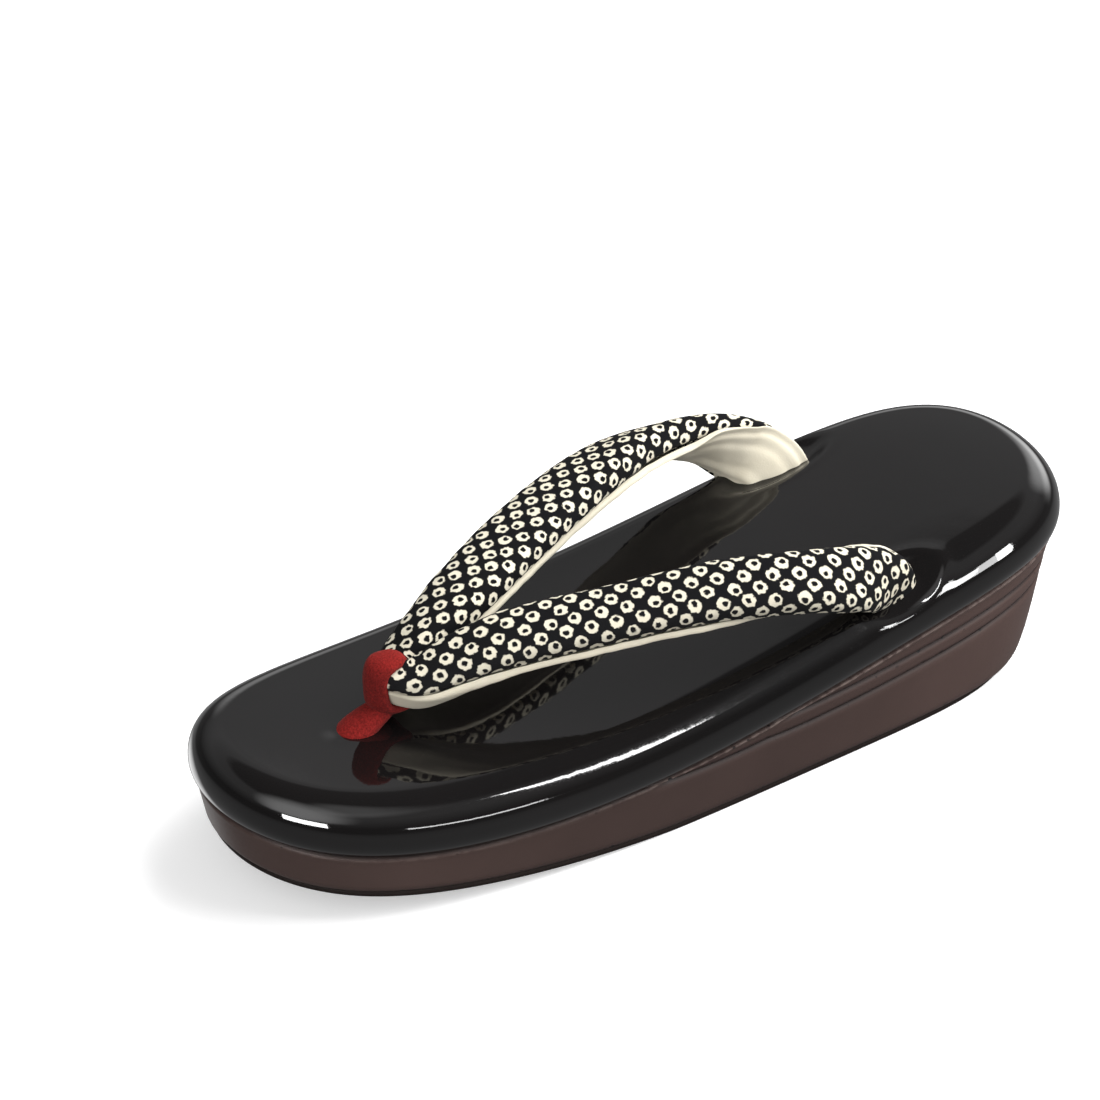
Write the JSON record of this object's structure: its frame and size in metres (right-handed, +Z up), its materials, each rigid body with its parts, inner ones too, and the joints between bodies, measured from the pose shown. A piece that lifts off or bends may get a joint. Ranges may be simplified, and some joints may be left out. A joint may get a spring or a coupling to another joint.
{
  "type": "zori sandal",
  "caption": "Thonged sandal with a black enamelled cushion on a layered brown platform, dotted padded straps and a red toe loop.",
  "frame": {"origin": "centre of the bounding box on the floor, under the middle of the shoe", "axes": "+Y from toe to heel, +X to the wearer's left, +Z up"},
  "size_m": [0.0903, 0.24, 0.0641],
  "materials": {
    "outsole": "matt dark sheet",
    "brown_cover": "satin wrapped cover with soft creases",
    "black_enamel": "mirror gloss enamelled cover over a soft core",
    "dotted_cloth": "black cloth with cream rings, padded, cream nap on the underside",
    "red_cloth": "matt short nap"
  },
  "bodies": {
    "root": {"outsole": "outsole", "platform_base": "brown_cover", "heel_layer_lower": "brown_cover", "heel_layer_upper": "brown_cover", "top_board": "black_enamel", "hanao_straps": "dotted_cloth", "toe_loop": "red_cloth"}
  },
  "joints": []
}
